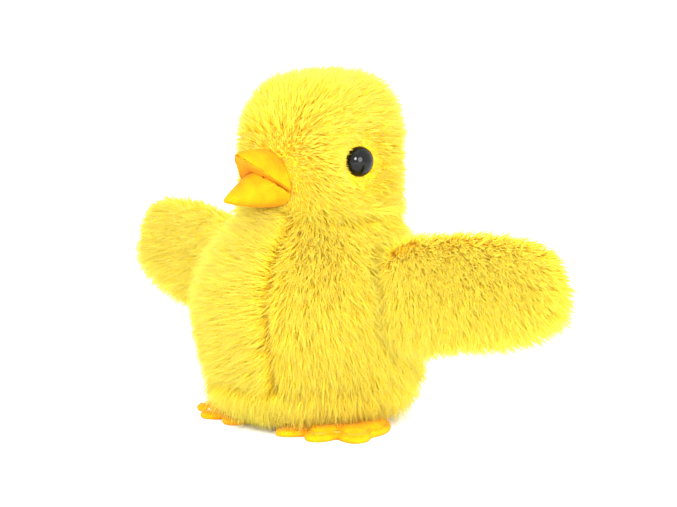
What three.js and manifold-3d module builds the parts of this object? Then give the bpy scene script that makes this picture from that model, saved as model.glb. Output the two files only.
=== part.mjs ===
// Wind-up hopping chick: a plush chick with spread wings, felt beak and felt feet, and inside it a
// spring motor that swings both legs on one hinge line.
// Millimetres. The chick stands on z = 0 and looks along -Y; +X is its own left side.

import * as THREE from 'three';
import { mergeVertices } from 'three/addons/utils/BufferGeometryUtils.js';
import Module from 'manifold-3d';

const wasm = await Module();
wasm.setup();

// ---------------------------------------------------------------- driving sizes

// Clearances
const seamGap = 0.3; // between two still pieces that are sewn, glued or screwed together
const runGap = 0.5; // beside a piece that turns or swings
const shaftGap = 0.08; // radial play of an axle in its bore
const reach = 1; // how far a cutting solid runs past the face it cuts

// Plush body, a stuffed bag that is open at the bottom
const bodyRadius = 38.8;
const bodyTop = 72;
const hemHeight = 5.2;
const bodyFurDepth = 7;
const rumpShift = 2.6;
const rumpHeight = 15;
const rumpSpread = 16;

// Plush head
const headRadius = 27.2;
const headHeight = 45;
const headFurDepth = 6;
const headSetback = 6;
const neckLeanStart = bodyTop - 30;
const neckLeanEnd = bodyTop + 2;
const headSquareness = 2.35;

// Wings
const wingLength = 60;
const wingRootHeight = 38.5;
const wingThickness = 17;
const wingFurDepth = 5;
const wingSweep = THREE.MathUtils.degToRad(10);
const wingRise = 0.13;
const wingHeight = 47;
const wingSeat = 4.5;
const wingStandOff = 1;
const wingSlotWidth = 6;

// Eyes, on shanks that go through the head fabric into a washer
const eyeRadius = 5;
const eyeDome = 4.4;
const eyeShankRadius = 1.5;
const eyeShankLength = 9;
const eyeHeight = 87.5;
const eyeBearing = THREE.MathUtils.degToRad(78);
const eyeSink = 4.7;
const washerRadius = 4.4;
const washerThickness = 1.2;
const washerPlay = 1;

// Beak, two pieces of stuffed felt
const beakHalfWidth = 10.4;
const beakHeight = 80.2;
const beakRootDepth = 4;
const upperBeakLength = 14.6;
const upperBeakHalfHeight = 10.6;
const upperBeakLift = 8;
const lowerBeakLength = 19.6;
const lowerBeakHalfHeight = 7;
const lowerBeakLift = -6.5;
const mouthWidth = 0.5;
const upperMouthRoot = -2.4;
const upperMouthTip = 7;
const lowerMouthRoot = 1.4;
const lowerMouthTip = -2.6;
const mouthBlockHeight = 30;

// Feet: felt under and over a moulded plate
const ankleSetback = 2;
const toeLength = 28;
const webLength = 21;
const heelLength = 11;
const toeSpread = THREE.MathUtils.degToRad(30);
const footSplay = THREE.MathUtils.degToRad(21);
const soleThickness = 1.2;
const plateThickness = 1.3;
const plateInset = 2.4;
const legSidePlay = 1.5;
const legEndPlay = 3;
const slotFrontPlay = 1.5;
const slotBackPlay = 3;
const slotRim = 2;

// Motor case, two halves that meet on x = 0
const caseHalfWidth = 13;
const caseWall = 1.5;
const caseCorner = 2.6;
const caseFloor = 10.5;
const caseHeight = 28;
const caseFront = -11;
const caseBack = 22.6;
const bossRadius = 1.9;
const screwRadius = 0.8;
const screwHeadRadius = 1.6;
const screwHeadHeight = 1;
const screwLength = 20;
const screwInset = 2.9;

// Base disc and the ring that holds the fabric hem to it
const baseRadius = 21.6;
const baseThickness = 1.8;
const baseSetback = 2.2;
const hemRingWidth = 1.1;

// Gear train
const toothModule = 0.5;
const greatTeeth = 32;
const wheelTeeth = 30;
const pinionTeeth = 10;
const wheelWidth = 1.8;
const pinionWidth = 2.8;
const toothThinning = 0.09;
const arborRadius = 1.5;
const axleRadius = 0.8;
const arborPlace = { y: 12, z: 23 };
const greatToSecondBearing = THREE.MathUtils.degToRad(150);
const secondToCrankBearing = THREE.MathUtils.degToRad(215);

// Ratchet and mainspring
const ratchetTeeth = 12;
const ratchetRadius = 4.2;
const ratchetDepth = 0.9;
const ratchetWidth = 1.6;
const clickHalfThickness = 0.25;
const clickRise = 2.7;
const clickTipBearing = THREE.MathUtils.degToRad(7);
const clickAnchorBearing = THREE.MathUtils.degToRad(42);
const springTurns = 5;
const springThickness = 0.4;
const springWidth = 6;
const springInner = 2.6;
const springOuter = 8;

// Cranks and legs
const crankThrow = 2;
const crankPinRadius = 1.1;
const crankDiscRadius = 4.2;
const crankDiscWidth = 1.4;
const slotPlay = 0.65;
const legThickness = 2.2;
const legArmHalfWidth = 3.6;
const pivotPlace = { y: 14, z: 14.2 };
const pivotPinRadius = 1.2;
const legPostDepth = 7;

// Winding knob outside the fabric
const knobReach = 6.4;
const knobThickness = 3.4;
const knobLength = 8;
const knobHubRadius = 3.2;
const sleeveWall = 1.1;

// ---------------------------------------------------------------- sizes worked out from them

const headBottom = bodyTop + seamGap;
const headTop = headBottom + headHeight;
const pitchRadius = (teeth) => (teeth * toothModule) / 2;
const stepFrom = (place, distance, bearing) => ({
  y: place.y + distance * Math.cos(bearing),
  z: place.z + distance * Math.sin(bearing),
});
const secondPlace = stepFrom(
  arborPlace,
  pitchRadius(greatTeeth) + pitchRadius(pinionTeeth),
  greatToSecondBearing,
);
const crankPlace = stepFrom(
  secondPlace,
  pitchRadius(wheelTeeth) + pitchRadius(pinionTeeth),
  secondToCrankBearing,
);
const pivotToCrank = Math.hypot(crankPlace.y - pivotPlace.y, crankPlace.z - pivotPlace.z);
const pivotToCrankBearing = Math.atan2(
  crankPlace.z - pivotPlace.z,
  crankPlace.y - pivotPlace.y,
);

// Places along X
const discInner = caseHalfWidth + runGap;
const discOuter = discInner + crankDiscWidth;
const legInner = discOuter + runGap;
const legOuter = legInner + legThickness;
const ankleX = (legInner + legOuter) / 2;
const greatWheelX = 0;
const secondWheelX = greatWheelX + pinionWidth + runGap;
const ratchetX = greatWheelX - ratchetWidth - seamGap;
const springX = ratchetX - springWidth - 2 * runGap;

// Places along Z in a foot
const plateBottom = soleThickness + seamGap;
const plateTop = plateBottom + plateThickness;
const feltTopBottom = plateTop + seamGap;
const feltTopTop = feltTopBottom + soleThickness;

// ---------------------------------------------------------------- materials

const finish = (color, roughness, metalness = 0) =>
  new THREE.MeshStandardMaterial({ color, roughness, metalness });
const plush = () => finish('#ffe536', 0.95);
const wadding = () => finish('#f2efe4', 1);
const felt = () => finish('#ffb400', 0.92);
const blackPlastic = () => finish('#0b0b0d', 0.08);
const whitePlastic = () => finish('#efece2', 0.45);
const amberPlastic = () => finish('#f2a51c', 0.45);
const gearPlastic = () => finish('#e9e4d2', 0.4);
const steel = () => finish('#b9bcc0', 0.3, 1);
const springSteel = () => finish('#6f7886', 0.35, 1);
const brass = () => finish('#c8a04a', 0.3, 1);

// ---------------------------------------------------------------- shaping helpers

// A closed geometry as a solid that can be joined and cut
function toSolid(geometry) {
  const bare = geometry.clone();
  bare.deleteAttribute('normal');
  bare.deleteAttribute('uv');
  const merged = mergeVertices(bare, 1e-4);
  const corners = merged.index.array;
  const kept = [];
  for (let i = 0; i < corners.length; i += 3) {
    const [a, b, c] = corners.slice(i, i + 3);
    if (a !== b && b !== c && c !== a) kept.push(a, b, c);
  }
  return new wasm.Manifold(
    new wasm.Mesh({
      numProp: 3,
      vertProperties: merged.attributes.position.array,
      triVerts: new Uint32Array(kept),
    }),
  );
}

function toGeometry(solid) {
  const mesh = solid.getMesh();
  const geometry = new THREE.BufferGeometry();
  geometry.setAttribute('position', new THREE.BufferAttribute(mesh.vertProperties, 3));
  geometry.setIndex(new THREE.BufferAttribute(mesh.triVerts, 1));
  geometry.computeVertexNormals();
  return geometry;
}

const cut = (geometry, ...tools) =>
  toGeometry(tools.reduce((solid, tool) => solid.subtract(toSolid(tool)), toSolid(geometry)));
const join = (...pieces) =>
  toGeometry(pieces.map(toSolid).reduce((all, piece) => all.add(piece)));
const keepInside = (geometry, tool) => toGeometry(toSolid(geometry).intersect(toSolid(tool)));

// A drawing in (y, z) given thickness along X
const drawingToX = new THREE.Matrix4().makeBasis(
  new THREE.Vector3(0, 1, 0),
  new THREE.Vector3(0, 0, 1),
  new THREE.Vector3(1, 0, 0),
);
function slabX(shape, x0, x1, curveSegments = 8) {
  const depth = x1 - x0;
  const slab = new THREE.ExtrudeGeometry(shape, { depth, bevelEnabled: false, curveSegments });
  return slab.applyMatrix4(drawingToX).translate(x0, 0, 0);
}

function slabZ(shape, z0, z1) {
  const depth = z1 - z0;
  const slab = new THREE.ExtrudeGeometry(shape, { depth, bevelEnabled: false, curveSegments: 6 });
  return slab.translate(0, 0, z0);
}

function rodX(radius, x0, x1, place = { y: 0, z: 0 }, sides = 16) {
  const rod = new THREE.CylinderGeometry(radius, radius, x1 - x0, sides);
  return rod.rotateZ(Math.PI / 2).translate((x0 + x1) / 2, place.y, place.z);
}

function block(x0, x1, y0, y1, z0, z1) {
  const box = new THREE.BoxGeometry(x1 - x0, y1 - y0, z1 - z0);
  return box.translate((x0 + x1) / 2, (y0 + y1) / 2, (z0 + z1) / 2);
}

// A ring or disc turned about X from [radius, x] corners that start and end on the axis or close
function turnedX(corners, sides = 20) {
  const profile = corners.map(([radius, x]) => new THREE.Vector2(radius, x));
  return new THREE.LatheGeometry(profile, sides).rotateZ(-Math.PI / 2);
}

// A long rounded plate between two points of the (y, z) plane
function strapShape(from, to, halfWidth) {
  const bearing = Math.atan2(to.z - from.z, to.y - from.y);
  const shape = new THREE.Shape();
  shape.absarc(from.y, from.z, halfWidth, bearing + Math.PI / 2, bearing + 1.5 * Math.PI);
  shape.absarc(to.y, to.z, halfWidth, bearing - Math.PI / 2, bearing + Math.PI / 2);
  return shape;
}

const parts = new THREE.Group();
function addPart(name, geometry, material, parent = parts) {
  const mesh = new THREE.Mesh(geometry, material);
  mesh.name = name;
  parent.add(mesh);
  return mesh;
}

const sides = [
  ['left', 1],
  ['right', -1],
];

// ---------------------------------------------------------------- plush forms

// How far back the middle of the plush lies at a height: under the head, and at the rump
function setbackAt(z) {
  const head = headSetback * THREE.MathUtils.smoothstep(z, neckLeanStart, neckLeanEnd);
  const rump = rumpShift * Math.exp(-(((z - rumpHeight) / rumpSpread) ** 2));
  return head + rump;
}

// Radius and height of the body's outline, from the hem up to the neck
const bodyOutline = [
  [bodyRadius - 9, hemHeight],
  [bodyRadius - 3.4, hemHeight + 9],
  [bodyRadius, hemHeight + 27],
  [bodyRadius - 1.6, bodyTop - 24],
  [bodyRadius - 6, bodyTop - 11.5],
  [headRadius + 1.2, bodyTop - 3.5],
  [headRadius + 0.4, bodyTop],
];

const headOutline = [
  [headRadius + 0.4, headBottom],
  [headRadius + 0.6, headBottom + 0.35 * headHeight],
  [headRadius - 1.4, headBottom + 0.66 * headHeight],
  [headRadius - 8.6, headTop - 4.6],
  [headRadius - 18.5, headTop - 0.8],
  [0, headTop],
];

// The outline as a smooth curve, moved inwards by a depth
function smoothOutline(outline, inset) {
  const curve = new THREE.SplineCurve(outline.map(([r, z]) => new THREE.Vector2(r, z)));
  const steps = 120;
  const points = [];
  for (let i = 0; i <= steps; i += 1) {
    const point = curve.getPoint(i / steps);
    const along = curve.getTangent(i / steps);
    points.push({ radius: point.x - along.y * inset, z: point.y + along.x * inset });
  }
  return points.filter((point, i) => i === 0 || point.z > points[i - 1].z);
}

function radiusAt(points, z) {
  const next = points.findIndex((point) => point.z >= z);
  if (next === 0) return points[0].radius;
  if (next < 0) return points[points.length - 1].radius;
  const [below, above] = [points[next - 1], points[next]];
  return THREE.MathUtils.mapLinear(z, below.z, above.z, below.radius, above.radius);
}

// A round form about Z with its outline sampled at heights, squared off in plan and set back
function plushForm(points, heights, around, squareness, closedTop) {
  const rings = heights.map((z) => new THREE.Vector2(Math.max(0.5, radiusAt(points, z)), z));
  if (closedTop) rings.pop();
  const profile = [
    new THREE.Vector2(0, heights[0]),
    ...rings,
    new THREE.Vector2(0, heights[heights.length - 1]),
  ];
  const form = new THREE.LatheGeometry(profile, around).rotateX(Math.PI / 2);
  const spots = form.attributes.position;
  for (let i = 0; i < spots.count; i += 1) {
    const x = spots.getX(i);
    const y = spots.getY(i);
    const radius = Math.hypot(x, y);
    if (radius > 0.01) {
      const share = Math.abs(x / radius) ** squareness + Math.abs(y / radius) ** squareness;
      spots.setX(i, x * share ** (-1 / squareness));
      spots.setY(i, y * share ** (-1 / squareness));
    }
    spots.setY(i, spots.getY(i) + setbackAt(spots.getZ(i)));
  }
  return form;
}

const rungs = (steps, place) => Array.from({ length: steps + 1 }, (_, i) => place(i / steps));

function bodyForm(inset, low, high) {
  const heights = rungs(10, (share) => low + (high - low) * share);
  return plushForm(smoothOutline(bodyOutline, inset), heights, 28, 2, false);
}

// The head closes in a dome, so its rungs crowd towards the top
function headForm(inset, low) {
  const top = headTop - inset;
  const heights = rungs(9, (share) => low + (top - low) * Math.sin((share * Math.PI) / 2));
  return plushForm(smoothOutline(headOutline, inset), heights, 28, headSquareness, true);
}

// ---------------------------------------------------------------- beak

// A pointed felt form that grows from the face along -Y, its tip lifted by a height
function beakForm(length, halfWidth, halfHeight, lift) {
  const profile = [
    [0, 0],
    [1, 0],
    [0.91, 0.18],
    [0.7, 0.46],
    [0.44, 0.72],
    [0.2, 0.92],
    [0, 1],
  ].map(([radius, along]) => new THREE.Vector2(radius, along));
  const form = new THREE.LatheGeometry(profile, 20).rotateX(Math.PI);
  form.scale(halfWidth, length, halfHeight);
  const root = setbackAt(beakHeight) - headRadius + beakRootDepth;
  const spots = form.attributes.position;
  for (let i = 0; i < spots.count; i += 1) {
    spots.setZ(i, spots.getZ(i) - (spots.getY(i) / length) * lift);
  }
  return form.translate(0, root, beakHeight);
}

// Everything above or below the slanting mouth, as a block to keep
function mouthHalf(side) {
  const root = setbackAt(beakHeight) - headRadius + beakRootDepth;
  const tip = root - lowerBeakLength - reach;
  const rootZ = beakHeight + (side > 0 ? upperMouthRoot : lowerMouthRoot);
  const tipZ = beakHeight + (side > 0 ? upperMouthTip : lowerMouthTip);
  const shape = new THREE.Shape();
  shape.moveTo(root + reach, rootZ + side * mouthWidth);
  shape.lineTo(tip, tipZ + side * mouthWidth);
  shape.lineTo(tip, tipZ + side * mouthBlockHeight);
  shape.lineTo(root + reach, rootZ + side * mouthBlockHeight);
  return slabX(shape, -2 * beakHalfWidth, 2 * beakHalfWidth);
}

const upperBeakSolid = (play) =>
  beakForm(
    upperBeakLength + play,
    beakHalfWidth + play,
    upperBeakHalfHeight + play,
    upperBeakLift,
  );
const lowerBeakSolid = (play) =>
  beakForm(
    lowerBeakLength + play,
    beakHalfWidth + play,
    lowerBeakHalfHeight + play,
    lowerBeakLift,
  );

function makeBeak() {
  const lower = keepInside(lowerBeakSolid(0), mouthHalf(-1));
  const overLower = keepInside(lowerBeakSolid(seamGap), mouthHalf(-1)).translate(0, 0, seamGap);
  addPart('upper_beak', cut(keepInside(upperBeakSolid(0), mouthHalf(1)), overLower), felt());
  addPart('lower_beak', lower, felt());
}

// ---------------------------------------------------------------- eyes

// Eye pieces are turned about their own shank; this stands one in the head, looking outwards
function standEye(mesh, side) {
  const seat = headRadius - eyeSink;
  const outX = side * Math.sin(eyeBearing);
  const outY = -Math.cos(eyeBearing);
  mesh.position.set(outX * seat, setbackAt(eyeHeight) + outY * seat, eyeHeight);
  mesh.rotation.z = Math.atan2(outY, outX);
  return mesh;
}

const eyeProfile = () => {
  const corners = [
    [0, -eyeShankLength],
    [eyeShankRadius, -eyeShankLength],
    [eyeShankRadius, 0],
    [eyeRadius, 0],
  ];
  const domeSteps = 5;
  for (let i = 1; i <= domeSteps; i += 1) {
    const angle = (i / domeSteps) * (Math.PI / 2);
    corners.push([i === domeSteps ? 0 : eyeRadius * Math.cos(angle), eyeDome * Math.sin(angle)]);
  }
  return corners;
};

const washerSeat = -(headFurDepth - eyeSink) - seamGap - washerPlay;

// The round well and shank hole that an eye needs in the fabric, and the well for its washer
function eyeCutter(corners, side) {
  const cutter = new THREE.Mesh(turnedX(corners, 20));
  standEye(cutter, side).updateMatrix();
  return cutter.geometry.applyMatrix4(cutter.matrix);
}
const fabricWell = (side) =>
  eyeCutter(
    [
      [0, -2 * headFurDepth],
      [eyeShankRadius + seamGap, -2 * headFurDepth],
      [eyeShankRadius + seamGap, -seamGap],
      [eyeRadius + seamGap, -seamGap],
      [eyeRadius + seamGap, 2 * headFurDepth],
      [0, 2 * headFurDepth],
    ],
    side,
  );
const washerWell = (side) =>
  eyeCutter(
    [
      [0, -eyeShankLength - runGap],
      [washerRadius + runGap, -eyeShankLength - runGap],
      [washerRadius + runGap, headFurDepth],
      [0, headFurDepth],
    ],
    side,
  );

function makeEyes() {
  for (const [name, side] of sides) {
    standEye(addPart(`eye_${name}`, turnedX(eyeProfile(), 20), blackPlastic()), side);
    const bore = eyeShankRadius + shaftGap;
    const ring = [
      [bore, washerSeat - washerThickness],
      [washerRadius, washerSeat - washerThickness],
      [washerRadius, washerSeat],
      [bore, washerSeat],
      [bore, washerSeat - washerThickness],
    ];
    standEye(addPart(`eye_washer_${name}`, turnedX(ring, 16), whitePlastic()), side);
  }
}

// ---------------------------------------------------------------- head and body

const openBelow = -reach;

function makeHead() {
  const shell = cut(
    headForm(0, headBottom),
    headForm(headFurDepth, headBottom - reach),
    fabricWell(1),
    fabricWell(-1),
    upperBeakSolid(seamGap),
    lowerBeakSolid(seamGap),
  );
  addPart('head_plush', shell, plush());
  const fill = cut(
    headForm(headFurDepth + 2 * seamGap, headBottom + seamGap),
    washerWell(1),
    washerWell(-1),
  );
  addPart('head_stuffing', fill, wadding());
}

// Room inside the wadding for the motor, the swinging legs and the winding shaft
function motorRoom() {
  const roomHalf = caseHalfWidth + screwHeadHeight + 2 * seamGap;
  const room = block(
    -roomHalf,
    roomHalf,
    caseFront - runGap,
    caseBack + runGap,
    openBelow,
    caseFloor + caseHeight + runGap,
  );
  const legRoom = block(
    -legOuter - runGap - legSidePlay,
    legOuter + runGap + legSidePlay,
    crankPlace.y - legArmHalfWidth - crankThrow - legEndPlay,
    pivotPlace.y + legArmHalfWidth + legEndPlay,
    openBelow,
    crankPlace.z + legArmHalfWidth + 2 * crankThrow + legEndPlay,
  );
  return [room, legRoom];
}

const sleeveOuter = arborRadius + runGap + sleeveWall;
const shaftTunnel = () => rodX(sleeveOuter + seamGap, -2 * bodyRadius, 0, arborPlace);

function makeBody() {
  const shell = cut(
    bodyForm(0, hemHeight, bodyTop),
    bodyForm(bodyFurDepth, hemHeight - reach, bodyTop + reach),
    shaftTunnel(),
  );
  addPart('body_plush', shell, plush());
  const fill = cut(
    bodyForm(bodyFurDepth + 2 * seamGap, caseFloor + seamGap, bodyTop - seamGap),
    ...motorRoom(),
    shaftTunnel(),
  );
  addPart('body_stuffing', fill, wadding());
}

// ---------------------------------------------------------------- wings

// The wing lies along +X from its root, thin along Y, and rises towards its tip
const wingOutline = [
  [0, 0],
  [0.62, 0.02],
  [0.93, 0.1],
  [1, 0.3],
  [0.97, 0.55],
  [0.8, 0.8],
  [0.5, 0.94],
  [0, 1],
];
function wingForm(inset, around) {
  const length = wingLength - 2 * inset;
  const halfHeight = wingRootHeight / 2 - inset;
  const halfThickness = wingThickness / 2 - inset;
  const profile = wingOutline.map(([r, along]) => new THREE.Vector2(r, along));
  const form = new THREE.LatheGeometry(profile, around).rotateZ(-Math.PI / 2);
  form.scale(length, halfThickness, halfHeight).translate(inset, 0, 0);
  const spots = form.attributes.position;
  for (let i = 0; i < spots.count; i += 1) {
    spots.setZ(i, spots.getZ(i) + spots.getX(i) * wingRise);
  }
  return form.translate(-wingThickness / 2, 0, 0);
}

// The fold line of the shoulder seam stands beside the body's widest part
const wingPivot = {
  x: bodyRadius + runGap + wingStandOff + wingThickness / 2,
  y: setbackAt(wingHeight) + wingSeat,
};

function makeWings() {
  for (const [name, side] of sides) {
    const wing = new THREE.Group();
    wing.position.set(side * wingPivot.x, wingPivot.y, wingHeight);
    wing.rotation.z = side > 0 ? wingSweep : Math.PI - wingSweep;
    parts.add(wing);
    const seamSlot = block(
      -wingThickness,
      0,
      -wingSlotWidth / 4,
      wingSlotWidth / 4,
      -wingSlotWidth,
      wingSlotWidth,
    );
    const shell = cut(wingForm(0, 20), wingForm(wingFurDepth, 16), seamSlot);
    addPart(`wing_plush_${name}`, shell, plush(), wing);
    addPart(`wing_stuffing_${name}`, wingForm(wingFurDepth + seamGap, 12), wadding(), wing);
  }
}

// ---------------------------------------------------------------- feet and legs

// Outline of a foot about its ankle: three round toes in a fan, a web between, a round heel
function footShape(inset, side) {
  const shape = new THREE.Shape();
  const steps = 60;
  const fanEdge = 1.5 * toeSpread;
  for (let i = 0; i < steps; i += 1) {
    const turn = -Math.PI + (i / steps) * 2 * Math.PI;
    const toe = Math.abs(Math.cos((Math.PI * turn) / toeSpread)) ** 0.9;
    const beyond = Math.max(0, (Math.abs(turn) - fanEdge) / (Math.PI - fanEdge));
    const heel = heelLength + (webLength - heelLength) * (1 - beyond) ** 2;
    const radius = (beyond > 0 ? heel : webLength + (toeLength - webLength) * toe) - inset;
    const bearing = -Math.PI / 2 + side * (footSplay + turn);
    const x = side * ankleX + radius * Math.cos(bearing);
    const y = ankleSetback + radius * Math.sin(bearing);
    if (i === 0) shape.moveTo(x, y);
    else shape.lineTo(x, y);
  }
  return shape;
}

// The plate of the foot, and above it the post and the arm with its pivot hole and crank slot
function makeLeg(name, side) {
  const x0 = side > 0 ? legInner : -legOuter;
  const x1 = side > 0 ? legOuter : -legInner;
  const armTop = crankPlace.z - slotRim;
  const arm = slabX(strapShape(pivotPlace, crankPlace, legArmHalfWidth), x0, x1);
  const post = block(
    x0,
    x1,
    ankleSetback - legPostDepth / 2,
    ankleSetback + legPostDepth / 2,
    plateBottom + plateThickness / 2,
    (pivotPlace.z + armTop) / 2,
  );
  const plate = slabZ(footShape(plateInset, side), plateBottom, plateTop);
  const pinHole = rodX(pivotPinRadius + shaftGap, x0 - reach, x1 + reach, pivotPlace);
  const slotHalf = crankPinRadius + slotPlay;
  const slotReach = crankThrow + slotPlay;
  const slot = slabX(
    strapShape(
      stepFrom(pivotPlace, pivotToCrank - slotReach, restBearing),
      stepFrom(pivotPlace, pivotToCrank + slotReach, restBearing),
      slotHalf,
    ),
    x0 - reach,
    x1 + reach,
  );
  const slotEnd = slabX(
    strapShape(crankPlace, stepFrom(pivotPlace, pivotToCrank + slotReach, restBearing), slotHalf + slotRim),
    x0,
    x1,
  );
  addPart(`leg_${name}`, cut(join(arm, post, plate, slotEnd), pinHole, slot), amberPlastic());
}

// At rest the crank pins stand at the end of their stroke, above the line to the pivot
const restLift = Math.asin(crankThrow / pivotToCrank);
const restBearing = pivotToCrankBearing - restLift;
const crankRest = restBearing - Math.PI / 2;

function makeFeet() {
  for (const [name, side] of sides) {
    const centre = side * ankleX;
    const anklePass = block(
      centre - legThickness / 2 - seamGap,
      centre + legThickness / 2 + seamGap,
      ankleSetback - legPostDepth / 2 - seamGap,
      ankleSetback + legPostDepth / 2 + seamGap,
      feltTopBottom - reach,
      feltTopTop + reach,
    );
    addPart(`felt_sole_${name}`, slabZ(footShape(0, side), 0, soleThickness), felt());
    const upper = cut(slabZ(footShape(0, side), feltTopBottom, feltTopTop), anklePass);
    addPart(`felt_upper_${name}`, upper, felt());
    makeLeg(name, side);
  }
}

// ---------------------------------------------------------------- motor case

const screwPlaces = [
  { y: caseFront + screwInset, z: caseFloor + screwInset },
  { y: caseFront + screwInset, z: caseFloor + caseHeight - screwInset },
  { y: caseBack - screwInset, z: caseFloor + caseHeight - screwInset },
  { y: caseBack - screwInset, z: caseFloor + screwInset },
];

// Plan of the case with rounded corners, moved inwards by a wall
function casePlan(inset) {
  const radius = caseCorner - inset;
  const [x, front, back] = [caseHalfWidth - inset, caseFront + inset, caseBack - inset];
  const plan = new THREE.Shape();
  plan.absarc(x - radius, back - radius, radius, 0, Math.PI / 2);
  plan.absarc(-x + radius, back - radius, radius, Math.PI / 2, Math.PI);
  plan.absarc(-x + radius, front + radius, radius, Math.PI, 1.5 * Math.PI);
  plan.absarc(x - radius, front + radius, radius, 1.5 * Math.PI, 2 * Math.PI);
  return plan;
}

function makeCaseHalf(name, side) {
  const span = (a, b) => (side > 0 ? [a, b] : [-b, -a]);
  const top = caseFloor + caseHeight;
  const outside = keepInside(
    slabZ(casePlan(0), caseFloor, top),
    block(...span(seamGap / 2, caseHalfWidth + reach), caseFront, caseBack, 0, top + reach),
  );
  const shell = cut(outside, slabZ(casePlan(caseWall), caseFloor + caseWall, top - caseWall));
  const bosses = screwPlaces.map((place) =>
    rodX(bossRadius, ...span(seamGap / 2, caseHalfWidth - caseWall / 2), place, 12),
  );
  const bores = [
    [arborRadius, arborPlace],
    [axleRadius, secondPlace],
    [axleRadius, crankPlace],
  ].map(([radius, place]) =>
    rodX(radius + shaftGap, ...span(caseHalfWidth / 2, caseHalfWidth + reach), place),
  );
  const pinBore = rodX(
    pivotPinRadius + shaftGap,
    ...span(caseHalfWidth / 2, caseHalfWidth + reach),
    pivotPlace,
  );
  const screwDepth = side > 0 ? caseHalfWidth + reach : screwLength - caseHalfWidth + runGap;
  const screwBores = screwPlaces.map((place) =>
    rodX(screwRadius + seamGap / 2, ...span(-reach, screwDepth), place, 12),
  );
  const half = cut(join(shell, ...bosses), ...bores, pinBore, ...screwBores);
  addPart(`case_${name}`, half, whitePlastic());
}

function makeScrews() {
  const headX = caseHalfWidth + seamGap / 2;
  const corners = [
    [0, headX - screwLength],
    [screwRadius, headX - screwLength],
    [screwRadius, headX],
    [screwHeadRadius, headX],
    [screwHeadRadius, headX + screwHeadHeight],
    [0, headX + screwHeadHeight],
  ];
  const slotTop = headX + screwHeadHeight;
  screwPlaces.forEach((place, index) => {
    const slot = block(
      slotTop - screwHeadHeight / 2,
      slotTop + reach,
      -screwHeadRadius * 2,
      screwHeadRadius * 2,
      -screwRadius / 4,
      screwRadius / 4,
    );
    const screw = addPart(`case_screw_${index + 1}`, cut(turnedX(corners, 12), slot), steel());
    screw.position.set(0, place.y, place.z);
  });
}

function makePivotPins() {
  for (const [name, side] of sides) {
    const inner = caseHalfWidth - caseWall + seamGap;
    const outer = legOuter + runGap;
    const collar = outer + 1;
    const corners = [
      [0, inner],
      [pivotPinRadius, inner],
      [pivotPinRadius, outer],
      [pivotPinRadius * 2, outer],
      [pivotPinRadius * 2, collar],
      [0, collar],
    ];
    const pin = addPart(`pivot_pin_${name}`, turnedX(corners, 16), steel());
    pin.position.set(0, pivotPlace.y, pivotPlace.z);
    if (side < 0) pin.rotation.z = Math.PI;
  }
}

// The disc closes the bottom of the chick; the legs swing in its two slots
function makeBase() {
  const outline = new THREE.Shape().absarc(0, baseSetback, baseRadius, 0, 2 * Math.PI);
  const bottom = caseFloor - seamGap - baseThickness;
  const disc = new THREE.ExtrudeGeometry(outline, {
    depth: baseThickness,
    bevelEnabled: false,
    curveSegments: 16,
  }).translate(0, 0, bottom);
  const slots = sides.map(([, side]) => {
    const centre = side * ankleX;
    const halfWidth = legThickness / 2 + runGap;
    return block(
      centre - halfWidth,
      centre + halfWidth,
      ankleSetback - legPostDepth / 2 - slotFrontPlay,
      ankleSetback + legPostDepth / 2 + slotBackPlay,
      bottom - reach,
      bottom + baseThickness + reach,
    );
  });
  addPart('base_disc', cut(disc, ...slots), whitePlastic());
  const inner = baseRadius + seamGap;
  const ring = [
    [inner, bottom],
    [inner + hemRingWidth, bottom],
    [inner + hemRingWidth, bottom + baseThickness],
    [inner, bottom + baseThickness],
    [inner, bottom],
  ].map(([radius, z]) => new THREE.Vector2(radius, z));
  const hemRing = new THREE.LatheGeometry(ring, 28).rotateX(Math.PI / 2);
  addPart('hem_ring', hemRing.translate(0, baseSetback, 0), whitePlastic());
}

// ---------------------------------------------------------------- gears

// One gear outline about the origin, a tooth on the bearing phase; flanks follow the involute
function gearShape(teeth, phase, boreRadius) {
  const pitch = pitchRadius(teeth);
  const base = pitch * Math.cos(THREE.MathUtils.degToRad(20));
  const root = pitch - 1.2 * toothModule;
  const tip = pitch + 0.72 * toothModule;
  const involute = (radius) => {
    const angle = Math.acos(Math.min(1, base / radius));
    return Math.tan(angle) - angle;
  };
  const halfAtPitch = Math.PI / (2 * teeth) - toothThinning / (2 * pitch);
  const halfAngle = (radius) => halfAtPitch + involute(pitch) - involute(radius);
  const flank = [root, pitch, tip];
  const outline = [];
  for (let tooth = 0; tooth < teeth; tooth += 1) {
    const middle = phase + (tooth / teeth) * 2 * Math.PI;
    for (const radius of flank) outline.push([radius, middle - halfAngle(radius)]);
    for (const radius of [...flank].reverse()) outline.push([radius, middle + halfAngle(radius)]);
  }
  const shape = new THREE.Shape(
    outline.map(([radius, a]) => new THREE.Vector2(radius * Math.cos(a), radius * Math.sin(a))),
  );
  if (boreRadius > 0) shape.holes.push(new THREE.Path().absarc(0, 0, boreRadius, 0, 2 * Math.PI));
  return shape;
}

// Half a tooth further round, so that a gap faces the neighbour's tooth
const gapPhase = (bearing, teeth) => bearing + Math.PI + Math.PI / teeth;

function ratchetShape(boreRadius) {
  const points = [];
  for (let tooth = 0; tooth < ratchetTeeth; tooth += 1) {
    const start = (-(tooth + 0.9) / ratchetTeeth) * 2 * Math.PI;
    const end = (-tooth / ratchetTeeth) * 2 * Math.PI;
    const low = ratchetRadius - ratchetDepth;
    points.push(new THREE.Vector2(low * Math.cos(end), low * Math.sin(end)));
    points.push(new THREE.Vector2(ratchetRadius * Math.cos(start), ratchetRadius * Math.sin(start)));
  }
  const shape = new THREE.Shape(points);
  shape.holes.push(new THREE.Path().absarc(0, 0, boreRadius, 0, 2 * Math.PI));
  return shape;
}

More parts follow.
